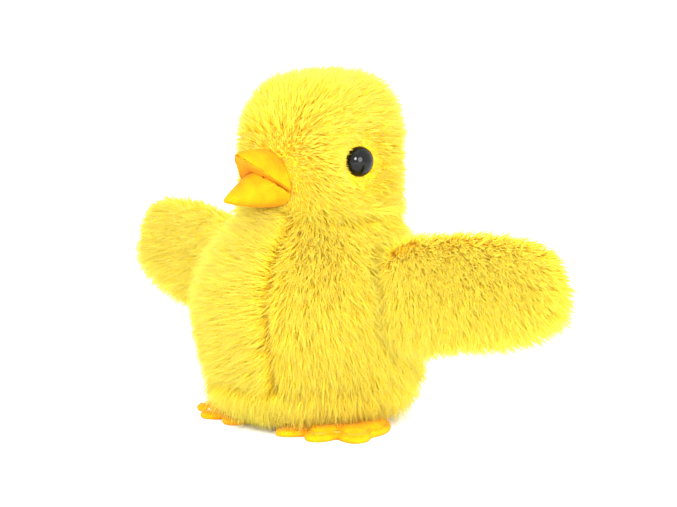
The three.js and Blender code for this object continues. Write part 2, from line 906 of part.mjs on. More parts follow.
// A springy tongue beside the great wheel, its tip behind a ratchet tooth
function clickShape() {
  const origin = { y: 0, z: 0 };
  const tip = stepFrom(origin, ratchetRadius - clickHalfThickness, -clickTipBearing);
  const anchor = stepFrom(origin, ratchetRadius + clickRise, -clickAnchorBearing);
  return strapShape(anchor, tip, clickHalfThickness);
}

function makeGears() {
  const arbor = new THREE.Group();
  arbor.position.set(0, arborPlace.y, arborPlace.z);
  parts.add(arbor);
  const arborBore = arborRadius + shaftGap;

  const great = gearShape(greatTeeth, greatToSecondBearing, arborBore);
  addPart('great_wheel', slabX(great, greatWheelX, greatWheelX + wheelWidth), brass(), arbor);
  addPart(
    'ratchet_wheel',
    slabX(ratchetShape(arborBore), ratchetX, ratchetX + ratchetWidth),
    steel(),
    arbor,
  );
  addPart(
    'click_spring',
    slabX(clickShape(), ratchetX, ratchetX + ratchetWidth, 3),
    springSteel(),
    arbor,
  );

  const second = new THREE.Group();
  second.position.set(0, secondPlace.y, secondPlace.z);
  parts.add(second);
  const axleBore = axleRadius + shaftGap;
  const pinionPhase = gapPhase(greatToSecondBearing, pinionTeeth);
  const pinion = slabX(
    gearShape(pinionTeeth, pinionPhase, axleBore),
    greatWheelX - runGap,
    secondWheelX + wheelWidth / 2,
  );
  const wheel = slabX(
    gearShape(wheelTeeth, secondToCrankBearing, axleBore),
    secondWheelX,
    secondWheelX + wheelWidth,
  );
  addPart('second_wheel', join(pinion, wheel), gearPlastic(), second);
  addPart(
    'second_axle',
    rodX(axleRadius, -caseHalfWidth + seamGap, caseHalfWidth - seamGap, undefined, 12),
    steel(),
    second,
  );

  const crank = new THREE.Group();
  crank.position.set(0, crankPlace.y, crankPlace.z);
  parts.add(crank);
  const crankPhase = gapPhase(secondToCrankBearing, pinionTeeth);
  const crankPinion = gearShape(pinionTeeth, crankPhase, axleBore);
  addPart(
    'crank_pinion',
    slabX(crankPinion, secondWheelX - runGap, secondWheelX + wheelWidth + runGap),
    gearPlastic(),
    crank,
  );
  addPart(
    'crank_axle',
    rodX(axleRadius, -discOuter + seamGap, discOuter - seamGap, undefined, 12),
    steel(),
    crank,
  );
  const pinPlace = stepFrom({ y: 0, z: 0 }, crankThrow, crankRest);
  for (const [name, side] of sides) {
    const span = (a, b) => (side > 0 ? [a, b] : [-b, -a]);
    const disc = rodX(crankDiscRadius, ...span(discInner, discOuter), { y: 0, z: 0 }, 20);
    const pin = rodX(crankPinRadius, ...span(discOuter - seamGap, legOuter), pinPlace, 12);
    const bore = rodX(axleBore, ...span(discInner - reach, discOuter - seamGap / 2), undefined, 12);
    addPart(`crank_disc_${name}`, cut(join(disc, pin), bore), whitePlastic(), crank);
  }
}

// ---------------------------------------------------------------- winding

// A flat strip wound in a spiral round the arbor
function makeMainspring() {
  const stepsPerTurn = 16;
  const steps = springTurns * stepsPerTurn;
  const inner = [];
  const outer = [];
  for (let i = 0; i <= steps; i += 1) {
    const angle = (i / stepsPerTurn) * 2 * Math.PI;
    const radius = springInner + ((springOuter - springInner - springThickness) * i) / steps;
    const along = new THREE.Vector2(Math.cos(angle), Math.sin(angle));
    inner.push(along.clone().multiplyScalar(radius));
    outer.push(along.clone().multiplyScalar(radius + springThickness));
  }
  const strip = new THREE.Shape([...outer, ...inner.reverse()]);
  const spring = slabX(strip, springX, springX + springWidth);
  addPart('mainspring', spring, springSteel()).position.set(0, arborPlace.y, arborPlace.z);
}

// The knob stands clear of the fabric, on the chick's right side and below the wing
const fabricX = -(bodyRadius + runGap);

function makeWinder() {
  const arbor = new THREE.Group();
  arbor.position.set(0, arborPlace.y, arborPlace.z);
  parts.add(arbor);
  const shaftEnd = greatWheelX + wheelWidth + runGap;
  const shaft = rodX(arborRadius, fabricX - knobLength / 2, caseHalfWidth - seamGap);
  addPart('winding_arbor', shaft, steel(), arbor);
  const collar = [
    [arborRadius + shaftGap, shaftEnd],
    [arborRadius + 1, shaftEnd],
    [arborRadius + 1, shaftEnd + 1],
    [arborRadius + shaftGap, shaftEnd + 1],
    [arborRadius + shaftGap, shaftEnd],
  ];
  addPart('arbor_collar', turnedX(collar, 14), steel(), arbor);

  const hub = rodX(knobHubRadius, fabricX - knobLength, fabricX - runGap);
  const bladeShape = strapShape(
    { y: -knobReach + knobThickness / 2, z: 0 },
    { y: knobReach - knobThickness / 2, z: 0 },
    knobThickness / 2,
  );
  const blade = slabX(bladeShape, fabricX - knobLength, fabricX - knobLength / 3);
  const bore = rodX(arborRadius + shaftGap, fabricX - knobLength / 2 - seamGap, 0);
  addPart('winding_knob', cut(join(hub, blade), bore), amberPlastic(), arbor);

  const tube = [
    [arborRadius + runGap, fabricX + runGap],
    [sleeveOuter, fabricX + runGap],
    [sleeveOuter, -caseHalfWidth - seamGap],
    [arborRadius + runGap, -caseHalfWidth - seamGap],
    [arborRadius + runGap, fabricX + runGap],
  ];
  const sleeve = addPart('shaft_sleeve', turnedX(tube, 16), whitePlastic());
  sleeve.position.set(0, arborPlace.y, arborPlace.z);
}

// ---------------------------------------------------------------- the whole toy

makeBody();
makeHead();
makeBeak();
makeEyes();
makeWings();
makeFeet();
makeBase();
for (const [name, side] of sides) makeCaseHalf(name, side);
makeScrews();
makePivotPins();
makeGears();
makeMainspring();
makeWinder();

// The origin lies under the middle of the whole toy
const extent = new THREE.Box3().setFromObject(parts, true);
parts.position.y = -(extent.min.y + extent.max.y) / 2;

export default parts;
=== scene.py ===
"""Plush wind-up chick: long-pile body, head and wings, felt beak and feet, glossy eyes and the motor."""

import math

import bmesh
import bpy
import numpy as np
from mathutils import Matrix, Vector, kdtree


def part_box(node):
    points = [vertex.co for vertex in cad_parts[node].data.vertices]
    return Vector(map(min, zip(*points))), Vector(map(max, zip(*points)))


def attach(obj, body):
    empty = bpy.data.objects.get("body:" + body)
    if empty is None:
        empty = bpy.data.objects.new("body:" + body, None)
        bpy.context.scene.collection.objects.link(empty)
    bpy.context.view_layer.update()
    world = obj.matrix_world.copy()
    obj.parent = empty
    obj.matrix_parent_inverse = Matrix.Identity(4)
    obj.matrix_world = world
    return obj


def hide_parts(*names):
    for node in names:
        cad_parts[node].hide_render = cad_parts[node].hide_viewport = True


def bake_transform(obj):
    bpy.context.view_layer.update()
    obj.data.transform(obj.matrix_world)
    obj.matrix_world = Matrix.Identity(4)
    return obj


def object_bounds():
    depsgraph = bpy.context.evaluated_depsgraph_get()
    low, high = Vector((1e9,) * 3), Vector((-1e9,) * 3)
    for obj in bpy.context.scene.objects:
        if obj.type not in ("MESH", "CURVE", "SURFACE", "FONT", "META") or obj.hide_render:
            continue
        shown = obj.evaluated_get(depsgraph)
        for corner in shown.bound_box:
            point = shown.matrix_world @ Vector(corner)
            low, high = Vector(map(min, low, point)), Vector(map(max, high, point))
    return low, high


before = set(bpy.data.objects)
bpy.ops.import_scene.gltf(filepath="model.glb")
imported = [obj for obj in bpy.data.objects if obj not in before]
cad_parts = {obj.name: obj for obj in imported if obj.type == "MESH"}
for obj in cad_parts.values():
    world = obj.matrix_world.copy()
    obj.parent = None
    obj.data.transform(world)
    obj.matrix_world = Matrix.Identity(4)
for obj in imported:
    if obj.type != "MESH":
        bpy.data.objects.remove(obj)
CAD_LOW, CAD_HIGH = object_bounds()
MM = 0.001


# ---------------------------------------------------------------- small helpers


def linear(hex_colour):
    """An sRGB hex colour as a linear RGBA."""
    parts = [int(hex_colour[i : i + 2], 16) / 255 for i in (1, 3, 5)]
    return [c / 12.92 if c <= 0.04045 else ((c + 0.055) / 1.055) ** 2.4 for c in parts] + [1.0]


def add_node(tree, kind, settings=None, inputs=None):
    """One node, its settings, and its inputs as plain values or links."""
    node = tree.nodes.new(kind)
    for key, value in (settings or {}).items():
        setattr(node, key, value)
    for key, value in (inputs or {}).items():
        if isinstance(value, bpy.types.NodeSocket):
            tree.links.new(value, node.inputs[key])
        else:
            node.inputs[key].default_value = value
    return node


def new_material(name, colour, roughness):
    """A material with one Principled shader, its tree and that shader."""
    material = bpy.data.materials.new(name)
    material.use_nodes = True
    tree = material.node_tree
    shader = tree.nodes["Principled BSDF"]
    shader.inputs["Base Color"].default_value = linear(colour)
    shader.inputs["Roughness"].default_value = roughness
    return material, tree, shader


def new_object(name, mesh, material):
    """An object at the origin with one mesh and one material."""
    piece = bpy.data.objects.new(name, mesh)
    bpy.context.scene.collection.objects.link(piece)
    mesh.materials.append(material)
    return piece


def middle_of(node):
    """The middle of a CAD node's box: x, y and z."""
    low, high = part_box(node)
    return (low.x + high.x) / 2, (low.y + high.y) / 2, (low.z + high.z) / 2


def mesh_of(name, bm):
    """The finished bmesh as a mesh with its faces pointing out."""
    bmesh.ops.recalc_face_normals(bm, faces=bm.faces)
    if bm.calc_volume(signed=True) < 0:
        bmesh.ops.reverse_faces(bm, faces=bm.faces)
    mesh = bpy.data.meshes.new(name)
    bm.to_mesh(mesh)
    bm.free()
    mesh.polygons.foreach_set("use_smooth", [True] * len(mesh.polygons))
    return mesh


# ---------------------------------------------------------------- materials

# Thin dyed fibres let light through: this share of the pile's light passes through the hair.
PILE_GLOW = 0.6
# The map of each hair: its dye lot along u, its root at 0 and its tip at 1 along v.
PILE_MAP = "OFBake"

def pile_material_painted_shade(name, root, middle, tip):
    """Dyed polyester pile. Each hair's map runs from its root at 0 to its tip at 1, and across it by its
    own dye lot: the colour deepens towards the roots as painted shade of the pile's depth, the tips pale
    as a painted highlight, and no two locks match."""
    material, tree, shader = new_material(name, middle, 0.72)
    lie = add_node(tree, "ShaderNodeUVMap", {"uv_map": PILE_MAP})
    axes = add_node(tree, "ShaderNodeSeparateXYZ", inputs={"Vector": lie.outputs["UV"]})
    # Painted light along each hair: the root colour is painted shade of the pile's depth and the tip
    # colour a painted highlight.
    ramp = add_node(tree, "ShaderNodeValToRGB", inputs={"Fac": axes.outputs["Y"]})
    ramp.color_ramp.elements[0].color = linear(root)
    ramp.color_ramp.elements[1].color = linear(tip)
    middle_stop = ramp.color_ramp.elements.new(0.45)
    middle_stop.color = linear(middle)
    dye = add_node(
        tree,
        "ShaderNodeMapRange",
        inputs={"Value": axes.outputs["X"], "To Min": 0.93, "To Max": 1.05},
    )
    toned = add_node(
        tree,
        "ShaderNodeHueSaturation",
        inputs={"Color": ramp.outputs["Color"], "Value": dye.outputs["Result"]},
    )
    tree.links.new(toned.outputs["Color"], shader.inputs["Base Color"])
    shader.inputs["Specular IOR Level"].default_value = 0.25
    shader.inputs["Sheen Weight"].default_value = 0.15
    shader.inputs["Sheen Roughness"].default_value = 0.5
    glow = add_node(tree, "ShaderNodeBsdfTranslucent", inputs={"Color": toned.outputs["Color"]})
    both = add_node(
        tree,
        "ShaderNodeMixShader",
        inputs={0: PILE_GLOW, 1: shader.outputs["BSDF"], 2: glow.outputs["BSDF"]},
    )
    tree.links.new(both.outputs["Shader"], tree.nodes["Material Output"].inputs["Surface"])
    return material


def backing_material():
    """Knitted backing cloth of the pile, seen only deep between the hairs: fine loops of 0.6 mm. Its deep
    golden is its yellow dye deepened with painted shade of the pile's depth.
    """
    # The golden #FFC800 holds painted shade, because the backing sits deep in the pile.
    material, tree, shader = new_material("dyed_backing_painted_shade", "#FFC800", 0.95)
    place = add_node(tree, "ShaderNodeTexCoord")
    loops = add_node(
        tree,
        "ShaderNodeTexVoronoi",
        inputs={"Vector": place.outputs["Object"], "Scale": 1 / (0.6 * MM)},
    )
    bump = add_node(
        tree,
        "ShaderNodeBump",
        inputs={"Height": loops.outputs["Distance"], "Strength": 0.5, "Distance": 0.2 * MM},
    )
    tree.links.new(bump.outputs["Normal"], shader.inputs["Normal"])
    return material


def felt_material(name, light, deep):
    """Pressed wool-mix felt: matt, with a mottled dye and tangled fibres about 0.25 mm apart."""
    material, tree, shader = new_material(name, light, 0.95)
    place = add_node(tree, "ShaderNodeTexCoord")
    patches = add_node(
        tree,
        "ShaderNodeTexNoise",
        inputs={"Vector": place.outputs["Object"], "Scale": 1 / (4 * MM), "Detail": 4.0},
    )
    fibres = add_node(
        tree,
        "ShaderNodeTexNoise",
        {"noise_dimensions": "3D"},
        {
            "Vector": place.outputs["Object"],
            "Scale": 1 / (0.5 * MM),
            "Detail": 3.0,
            "Distortion": 1.6,
        },
    )
    cloudy = add_node(
        tree,
        "ShaderNodeMath",
        {"operation": "MULTIPLY_ADD"},
        {0: fibres.outputs["Fac"], 1: 0.5, 2: patches.outputs["Fac"]},
    )
    ramp = add_node(tree, "ShaderNodeValToRGB", inputs={"Fac": cloudy.outputs["Value"]})
    ramp.color_ramp.elements[0].position = 0.45
    ramp.color_ramp.elements[0].color = linear(deep)
    ramp.color_ramp.elements[1].position = 0.95
    ramp.color_ramp.elements[1].color = linear(light)
    tree.links.new(ramp.outputs["Color"], shader.inputs["Base Color"])
    bump = add_node(
        tree,
        "ShaderNodeBump",
        inputs={"Height": fibres.outputs["Fac"], "Strength": 0.6, "Distance": 0.25 * MM},
    )
    tree.links.new(bump.outputs["Normal"], shader.inputs["Normal"])
    shader.inputs["Specular IOR Level"].default_value = 0.15
    shader.inputs["Sheen Weight"].default_value = 0.08
    shader.inputs["Sheen Roughness"].default_value = 0.6
    shader.inputs["Sheen Tint"].default_value = linear("#FFD050")
    return material


def moulded_material(name, colour, roughness, grain_mm=0.35, depth_mm=0.01):
    """Injection-moulded plastic with the fine spark grain of its mould."""
    material, tree, shader = new_material(name, colour, roughness)
    place = add_node(tree, "ShaderNodeTexCoord")
    grain = add_node(
        tree,
        "ShaderNodeTexNoise",
        inputs={"Vector": place.outputs["Object"], "Scale": 1 / (grain_mm * MM), "Detail": 2.0},
    )
    bump = add_node(
        tree,
        "ShaderNodeBump",
        inputs={"Height": grain.outputs["Fac"], "Strength": 0.35, "Distance": depth_mm * MM},
    )
    tree.links.new(bump.outputs["Normal"], shader.inputs["Normal"])
    return material


def metal_material(name, colour, roughness, stretch):
    """Drawn or stamped metal, its scratches stretched along one axis."""
    material, tree, shader = new_material(name, colour, roughness)
    shader.inputs["Metallic"].default_value = 1.0
    place = add_node(tree, "ShaderNodeTexCoord")
    laid = add_node(
        tree, "ShaderNodeMapping", inputs={"Vector": place.outputs["Object"], "Scale": stretch}
    )
    lines = add_node(
        tree,
        "ShaderNodeTexNoise",
        inputs={"Vector": laid.outputs["Vector"], "Scale": 1 / (0.3 * MM), "Detail": 3.0},
    )
    spread = add_node(
        tree,
        "ShaderNodeMapRange",
        inputs={
            "Value": lines.outputs["Fac"],
            "To Min": roughness - 0.08,
            "To Max": roughness + 0.1,
        },
    )
    tree.links.new(spread.outputs["Result"], shader.inputs["Roughness"])
    return material


# ---------------------------------------------------------------- measures in metres

ARBOR_BEHIND_AXIS = 12 * MM
AXIS_BACK = middle_of("winding_arbor")[1] - ARBOR_BEHIND_AXIS
BODY_RADIUS = 38.8 * MM
HEAD_RADIUS = 27.2 * MM
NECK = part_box("body_plush")[1].z
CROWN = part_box("head_plush")[1].z
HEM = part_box("body_plush")[0].z
HEAD_SQUARENESS = 2.35
BACKING_WALL = 0.6 * MM
BODY_PILE = 5.4 * MM
HEAD_PILE = 5.2 * MM
WING_PILE = 5.0 * MM
CHEST_SEAM = math.radians(27)
BELLY_SEAM = 19 * MM


# ---------------------------------------------------------------- forms


def smooth_step(value, low, high):
    """0 below low, 1 above high, and an even S between."""
    t = np.clip((value - low) / (high - low), 0, 1)
    return t * t * (3 - 2 * t)


def setback(z):
    """How far back the middle of the plush lies at a height: the head sits back, and so does the rump."""
    lean = 6 * MM * smooth_step(z, NECK - 30 * MM, NECK + 2 * MM)
    rump = 2.6 * MM * np.exp(-(((z - 15 * MM) / (16 * MM)) ** 2))
    return AXIS_BACK + lean + rump


def smooth_line(points, per_span):
    """A Catmull-Rom curve through the points."""
    known = np.array(points, float)
    ends = np.vstack([2 * known[0] - known[1], known, 2 * known[-1] - known[-2]])
    line = []
    for i in range(len(known) - 1):
        a, b, c, d = ends[i : i + 4]
        for t in np.arange(per_span) / per_span:
            bend = 2 * a - 5 * b + 4 * c - d
            turn = 3 * b - a - 3 * c + d
            line.append(0.5 * (2 * b + (c - a) * t + bend * t * t + turn * t**3))
    line.append(known[-1])
    return np.array(line)


def inset_line(line, depth):
    """The line moved inwards, towards the axis side, by a depth."""
    run = np.gradient(line, axis=0)
    run /= np.linalg.norm(run, axis=1)[:, None]
    moved = line - depth * np.stack([run[:, 1], -run[:, 0]], axis=1)
    moved[:, 0] = np.maximum(moved[:, 0], 0)
    return moved


def put_in_order(bm):
    """Sorts edges and faces by their corners: a spin leaves them in an order that differs between runs,
    and the seeded hairs are dealt out in that order."""
    bm.verts.index_update()
    base = len(bm.verts)

    def place(item):
        corners = sorted(vert.index for vert in item.verts)[:3]
        return sum(index * base ** (2 - rank) for rank, index in enumerate(corners))

    bm.edges.sort(key=place)
    bm.faces.sort(key=place)


def lathe(profile, steps):
    """A profile of (radius, height) pairs spun one full turn round the Z axis."""
    bm = bmesh.new()
    points = [bm.verts.new((radius, 0, height)) for radius, height in profile]
    edges = [bm.edges.new(pair) for pair in zip(points, points[1:])]
    bmesh.ops.spin(
        bm,
        geom=points + edges,
        cent=(0, 0, 0),
        axis=(0, 0, 1),
        angle=2 * math.pi,
        steps=steps,
        use_merge=True,
    )
    bmesh.ops.remove_doubles(bm, verts=bm.verts, dist=0.001 * MM)
    loose = [edge for edge in bm.edges if not edge.link_faces]
    bmesh.ops.delete(bm, geom=loose, context="EDGES")
    put_in_order(bm)
    return bm


def walled(outer):
    """A closed profile: the outer line up and a line one wall inside it back down."""
    inner = inset_line(outer, BACKING_WALL)
    return np.vstack([outer, inner[::-1], outer[:1]])


BODY_LINE = [
    (BODY_RADIUS - 9 * MM, HEM),
    (BODY_RADIUS - 3.4 * MM, HEM + 9 * MM),
    (BODY_RADIUS, HEM + 27 * MM),
    (BODY_RADIUS - 1.6 * MM, NECK - 24 * MM),
    (BODY_RADIUS - 6 * MM, NECK - 11.5 * MM),
    (HEAD_RADIUS + 1.2 * MM, NECK - 3.5 * MM),
    (HEAD_RADIUS + 0.4 * MM, NECK),
]
HEAD_LINE = [
    (27.6 * MM, NECK),
    (27.8 * MM, NECK + 16 * MM),
    (25.8 * MM, NECK + 30 * MM),
    (18.6 * MM, NECK + 40.7 * MM),
    (8.7 * MM, CROWN - 0.8 * MM),
    (0.0, CROWN),
]
WING_LINE = [
    (0.0, 0.0),
    (0.62, 0.02),
    (0.93, 0.1),
    (1.0, 0.3),
    (0.97, 0.55),
    (0.8, 0.8),
    (0.5, 0.94),
    (0.0, 1.0),
]


def seam_depth(x, y, z):
    """How far the chest seams and the belly seam pull the backing in."""
    around = np.arctan2(x, -(y - setback(z)))
    off_chest = (np.abs(around) - CHEST_SEAM) * BODY_RADIUS
    chest = np.exp(-((off_chest / (1.6 * MM)) ** 2)) * (z > BELLY_SEAM)
    belly = np.exp(-(((z - BELLY_SEAM) / (1.6 * MM)) ** 2)) * (np.abs(around) < 2.2)
    return 1.4 * MM * np.maximum(chest, belly)


def body_backing():
    """The backing cloth of the body: a bag open at the hem, with its chest and belly seams drawn in."""
    outer = inset_line(smooth_line(BODY_LINE, 6), BODY_PILE)
    hem = [(23.4 * MM, HEM + 4.6 * MM), (26.5 * MM, HEM + 4.4 * MM)]
    side = outer[outer[:, 1] > HEM + 7.5 * MM]
    bm = lathe(walled(np.vstack([hem, side, [(0.0, NECK + 0.2 * MM)]])), 160)
    for vert in bm.verts:
        x, y, z = vert.co
        lean = setback(z)
        pulled = 1 - seam_depth(x, y + lean, z) / BODY_RADIUS
        vert.co = (x * pulled, y * pulled + lean, z)
    return mesh_of("body_backing", bm)


def head_backing():
    """The backing cloth of the head, a little squarer than round."""
    outer = inset_line(smooth_line(HEAD_LINE, 6), HEAD_PILE)
    outer[-1] = (0, CROWN - HEAD_PILE)
    tuck = [(19 * MM, NECK - 2.5 * MM), (21 * MM, NECK - 1.2 * MM)]
    bm = lathe(walled(np.vstack([tuck, outer])), 128)
    for vert in bm.verts:
        x, y, z = vert.co
        angle = math.atan2(y, x)
        share = abs(math.cos(angle)) ** HEAD_SQUARENESS + abs(math.sin(angle)) ** HEAD_SQUARENESS
        square = share ** (-1 / HEAD_SQUARENESS)
        vert.co = (x * square, y * square + setback(z), z)
    return mesh_of("head_backing", bm)


WING_LENGTH = 60 * MM
WING_HALF_HEIGHT = 19.25 * MM
WING_HALF_THICKNESS = 8.5 * MM
WING_HEIGHT = 47 * MM
WING_RISE = 0.13
WING_SWEEP = math.radians(10)
SHOULDER = Vector((48.8 * MM, setback(47 * MM) + 4.5 * MM, WING_HEIGHT))
SHOULDER_OVERLAP = 7 * MM


def wing_place(side, along, across, up):
    """A point of a wing from its own length, thickness and height to the chick's frame."""
    out = along - WING_HALF_THICKNESS
    x = out * math.cos(WING_SWEEP) - across * math.sin(WING_SWEEP)
    y = out * math.sin(WING_SWEEP) + across * math.cos(WING_SWEEP)
    return (side * (SHOULDER.x + x), SHOULDER.y + y, SHOULDER.z + up + along * WING_RISE)


def wing_backing(name, side):
    """The backing cloth of a wing: a flat stuffed leaf whose root is tucked into the shoulder seam."""
    bm = lathe(smooth_line(WING_LINE, 5), 64)
    length = WING_LENGTH - WING_PILE
    for vert in bm.verts:
        x, y, z = vert.co
        root = 1 - smooth_step(z, 0.0, 0.35)
        along = z * (length + SHOULDER_OVERLAP) - SHOULDER_OVERLAP
        across = y * (WING_HALF_THICKNESS - WING_PILE + 1.2 * MM * root)
        vert.co = wing_place(side, along, across, x * (WING_HALF_HEIGHT - WING_PILE * 0.8))
    return mesh_of(f"wing_backing_{name}", bm)


# ---------------------------------------------------------------- pile

# Drawn coarser than real pile, which is about 0.03 mm thick, so that single hairs show.
HAIR_THICKNESS = 0.125 * MM
HAIRS_PER_LOCK = 9
# How strongly a hair leans to its lock's leader, from least to most.
LOCK_PULL = (0.1, 0.55)
# A hair's length as a share of the length asked for, shortest to longest.
LENGTH_SPREAD = (0.68, 1.2)
# How upright hairs stand, as the sine of their rise: the mean, its spread and its limits.
LIFT, LIFT_SPREAD, LIFT_LIMITS = 0.6, 0.17, (0.2, 0.95)
# How far hairs stray from the combed way, in radians.
WANDER = 0.34
ROOT_SINK = 0.3 * MM
DYE_LOTS = 48
FLOOR_GAP = 0.4 * MM

def hair_template():
    """One three-sided hair of unit length and unit root radius: corners, and faces with their map."""
    bm = bmesh.new()
    bmesh.ops.create_cone(
        bm, cap_ends=True, segments=3, radius1=1.0, radius2=0.0001, depth=1.0
    )
    bmesh.ops.translate(bm, verts=bm.verts, vec=(0, 0, 0.5))
    top = [vert for vert in bm.verts if vert.co.z > 0.9]
    bmesh.ops.remove_doubles(bm, verts=top, dist=0.01)
    bmesh.ops.bisect_plane(
        bm, geom=bm.verts[:] + bm.edges[:] + bm.faces[:], plane_co=(0, 0, 0.5), plane_no=(0, 0, 1)
    )
    for vert in bm.verts:
        if abs(vert.co.z - 0.5) < 0.01:
            vert.co.xy = vert.co.xy * 1.7
    bmesh.ops.recalc_face_normals(bm, faces=bm.faces)
    bm.verts.index_update()
    corners = np.array([vert.co for vert in bm.verts])
    faces = []
    for face in bm.faces:
        angles = [math.atan2(v.co.y, v.co.x) / (2 * math.pi) % 1 for v in face.verts]
        low = min(a for a, v in zip(angles, face.verts) if v.co.z < 0.99)
        spread = [(a - low) % 1 for a in angles]
        cap = all(v.co.z < 0.01 for v in face.verts)
        lie = []
        for step, (vert, share) in enumerate(zip(face.verts, spread)):
            if cap:
                lie.append((step / 2, 0.02 * (step == 1)))
            elif vert.co.z > 0.99:
                lie.append((0.5, 1.0))
            else:
                lie.append((min(share, 1 - share) * 3 if share > 0.01 else 0.0, vert.co.z))
        faces.append(([v.index for v in face.verts], lie))
    bm.free()
    return corners, faces


HAIR_CORNERS, HAIR_FACES = hair_template()


def scatter(mesh, count, wanted, chance):
    """Seeded points on the wanted part of a backing, spread evenly by area, with their normals."""
    mesh.calc_loop_triangles()
    triangles = np.empty(len(mesh.loop_triangles) * 3, np.int64)
    mesh.loop_triangles.foreach_get("vertices", triangles)
    triangles = triangles.reshape(-1, 3)
    spots = np.empty(len(mesh.vertices) * 3)
    mesh.vertices.foreach_get("co", spots)
    spots = spots.reshape(-1, 3)
    outs = np.empty(len(mesh.vertices) * 3)
    mesh.vertices.foreach_get("normal", outs)
    outs = outs.reshape(-1, 3)
    a, b, c = (spots[triangles[:, k]] for k in range(3))
    area = np.linalg.norm(np.cross(b - a, c - a), axis=1)
    share = area * wanted((a + b + c) / 3, (outs[triangles[:, 0]] + outs[triangles[:, 1]]) / 2)
    chosen = chance.choice(len(triangles), count, p=share / share.sum())
    u, v = chance.random(count), chance.random(count)
    fold = u + v > 1
    u[fold], v[fold] = 1 - u[fold], 1 - v[fold]
    mix = np.stack([1 - u - v, u, v], axis=1)
    picked = triangles[chosen]
    points = np.einsum("ij,ijk->ik", mix, spots[picked])
    normals = unit(np.einsum("ij,ijk->ik", mix, outs[picked]))
    return points, normals


def unit(vectors):
    """The vectors scaled to unit length."""
    return vectors / np.maximum(np.linalg.norm(vectors, axis=1), 1e-9)[:, None]


def nearest_lock(points, lock_count):
    """For each hair, the hair that leads its lock."""
    lock_count = min(lock_count, len(points))
    tree = kdtree.KDTree(lock_count)
    for index in range(lock_count):
        tree.insert(points[index], index)
    tree.balance()
    return np.array([tree.find(point)[1] for point in points])


def grow_pile(name, mesh, count, wanted, comb, length, material, seed):
    """Combed hairs on the wanted part of a backing, as one mesh. comb gives the way they lie, and length
    how long they are at each point."""
    thick = HAIR_THICKNESS
    chance = np.random.default_rng(seed)
    roots, normals = scatter(mesh, count, wanted, chance)
    lie = comb(roots, normals)
    lie = unit(lie - normals * np.sum(lie * normals, axis=1)[:, None])
    sweep = np.cross(normals, lie)
    wander = chance.normal(0, WANDER, count)
    lie = unit(lie * np.cos(wander)[:, None] + sweep * np.sin(wander)[:, None])
    long = length(roots) * chance.uniform(*LENGTH_SPREAD, count)
    lift = np.clip(chance.normal(LIFT, LIFT_SPREAD, count), *LIFT_LIMITS)
    start = roots - normals * ROOT_SINK
    rise = np.sqrt(1 - lift**2)
    middle = start + long[:, None] * (normals * 0.42 * lift[:, None] + lie * 0.22)
    reach = normals * (lift * 0.86)[:, None] + lie * (rise * 0.86)[:, None]
    tip = start + long[:, None] * reach
    lock = nearest_lock(roots, count // HAIRS_PER_LOCK)
    pull = chance.uniform(*LOCK_PULL, count)[:, None]
    lead = tip[lock] + (roots - roots[lock]) * 0.35
    tip += (lead - tip) * pull
    middle += (middle[lock] + (roots - roots[lock]) * 0.8 - middle) * pull * 0.4

    width = thick * chance.uniform(0.7, 1.25, count)
    side = unit(np.cross(tip - start, normals) + 1e-6)
    front = unit(np.cross(side, tip - start))
    corners = np.empty((count, len(HAIR_CORNERS), 3))
    for index, (across, over, along) in enumerate(HAIR_CORNERS):
        centre = (
            start * (1 - along) ** 2 + middle * 2 * along * (1 - along) + tip * along**2
        )
        corners[:, index] = centre + (side * across + front * over) * width[:, None]
    corners[:, :, 2] = np.maximum(corners[:, :, 2], FLOOR_GAP)

    tone = chance.integers(0, DYE_LOTS, count) / DYE_LOTS
    order = np.concatenate([np.array(face) for face, _ in HAIR_FACES])
    lies = np.array([pair for _, lie_map in HAIR_FACES for pair in lie_map])
    sizes = np.array([len(face) for face, _ in HAIR_FACES])
    base = np.arange(count)[:, None] * len(HAIR_CORNERS)
    pile = bpy.data.meshes.new(name)
    pile.vertices.add(count * len(HAIR_CORNERS))
    pile.vertices.foreach_set("co", corners.ravel())
    pile.loops.add(count * len(order))
    pile.loops.foreach_set("vertex_index", (base + order).ravel().astype(np.int32))
    pile.polygons.add(count * len(sizes))
    starts = np.concatenate([[0], np.cumsum(np.tile(sizes, count))[:-1]])
    pile.polygons.foreach_set("loop_start", starts.astype(np.int32))
    pile.update(calc_edges=True)
    pile.validate()
    pile.polygons.foreach_set("use_smooth", [True] * len(pile.polygons))
    uv = np.empty((count, len(order), 2))
    uv[:, :, 0] = tone[:, None] + lies[:, 0] * 0.8 / DYE_LOTS
    uv[:, :, 1] = 0.01 + 0.98 * lies[:, 1]
    layer = pile.uv_layers.new(name=PILE_MAP)
    layer.data.foreach_set("uv", uv.ravel())
    return new_object(name, pile, material)


# ---------------------------------------------------------------- plush pieces

SIDES = (("left", 1), ("right", -1))
FLANK_END = 1.75
BREAST_HAIRS, FLANK_HAIRS, BACK_HAIRS = 15000, 17500, 16500
HEAD_HAIRS, WING_FACE_HAIRS = 17500, 14500

def bearing_of(points):
    """Bearing of each point round the body, 0 at the breast and positive towards the left wing."""
    return np.arctan2(points[:, 0], -(points[:, 1] - setback(points[:, 2])))


def body_comb(points, normals):
    """Down over the flanks and back; across the breast panel, whose nap was cut sideways."""
    around = bearing_of(points)
    down = np.tile([0.0, 0.0, -1.0], (len(points), 1))
    down[:, 0] += 0.35 * np.sin(points[:, 2] / (7 * MM)) * np.cos(around * 3)
    across = np.tile([-1.0, 0.0, -0.3], (len(points), 1))
    breast = (np.abs(around) < CHEST_SEAM) & (points[:, 2] > BELLY_SEAM)
    return np.where(breast[:, None], across, down)


def head_comb(points, normals):
    """Away from the beak, over the crown and down the cheeks."""
    beak = np.array([0, AXIS_BACK + 6 * MM - HEAD_RADIUS, 84 * MM])
    away = unit(points - beak)
    away[:, 2] -= 0.35
    return away


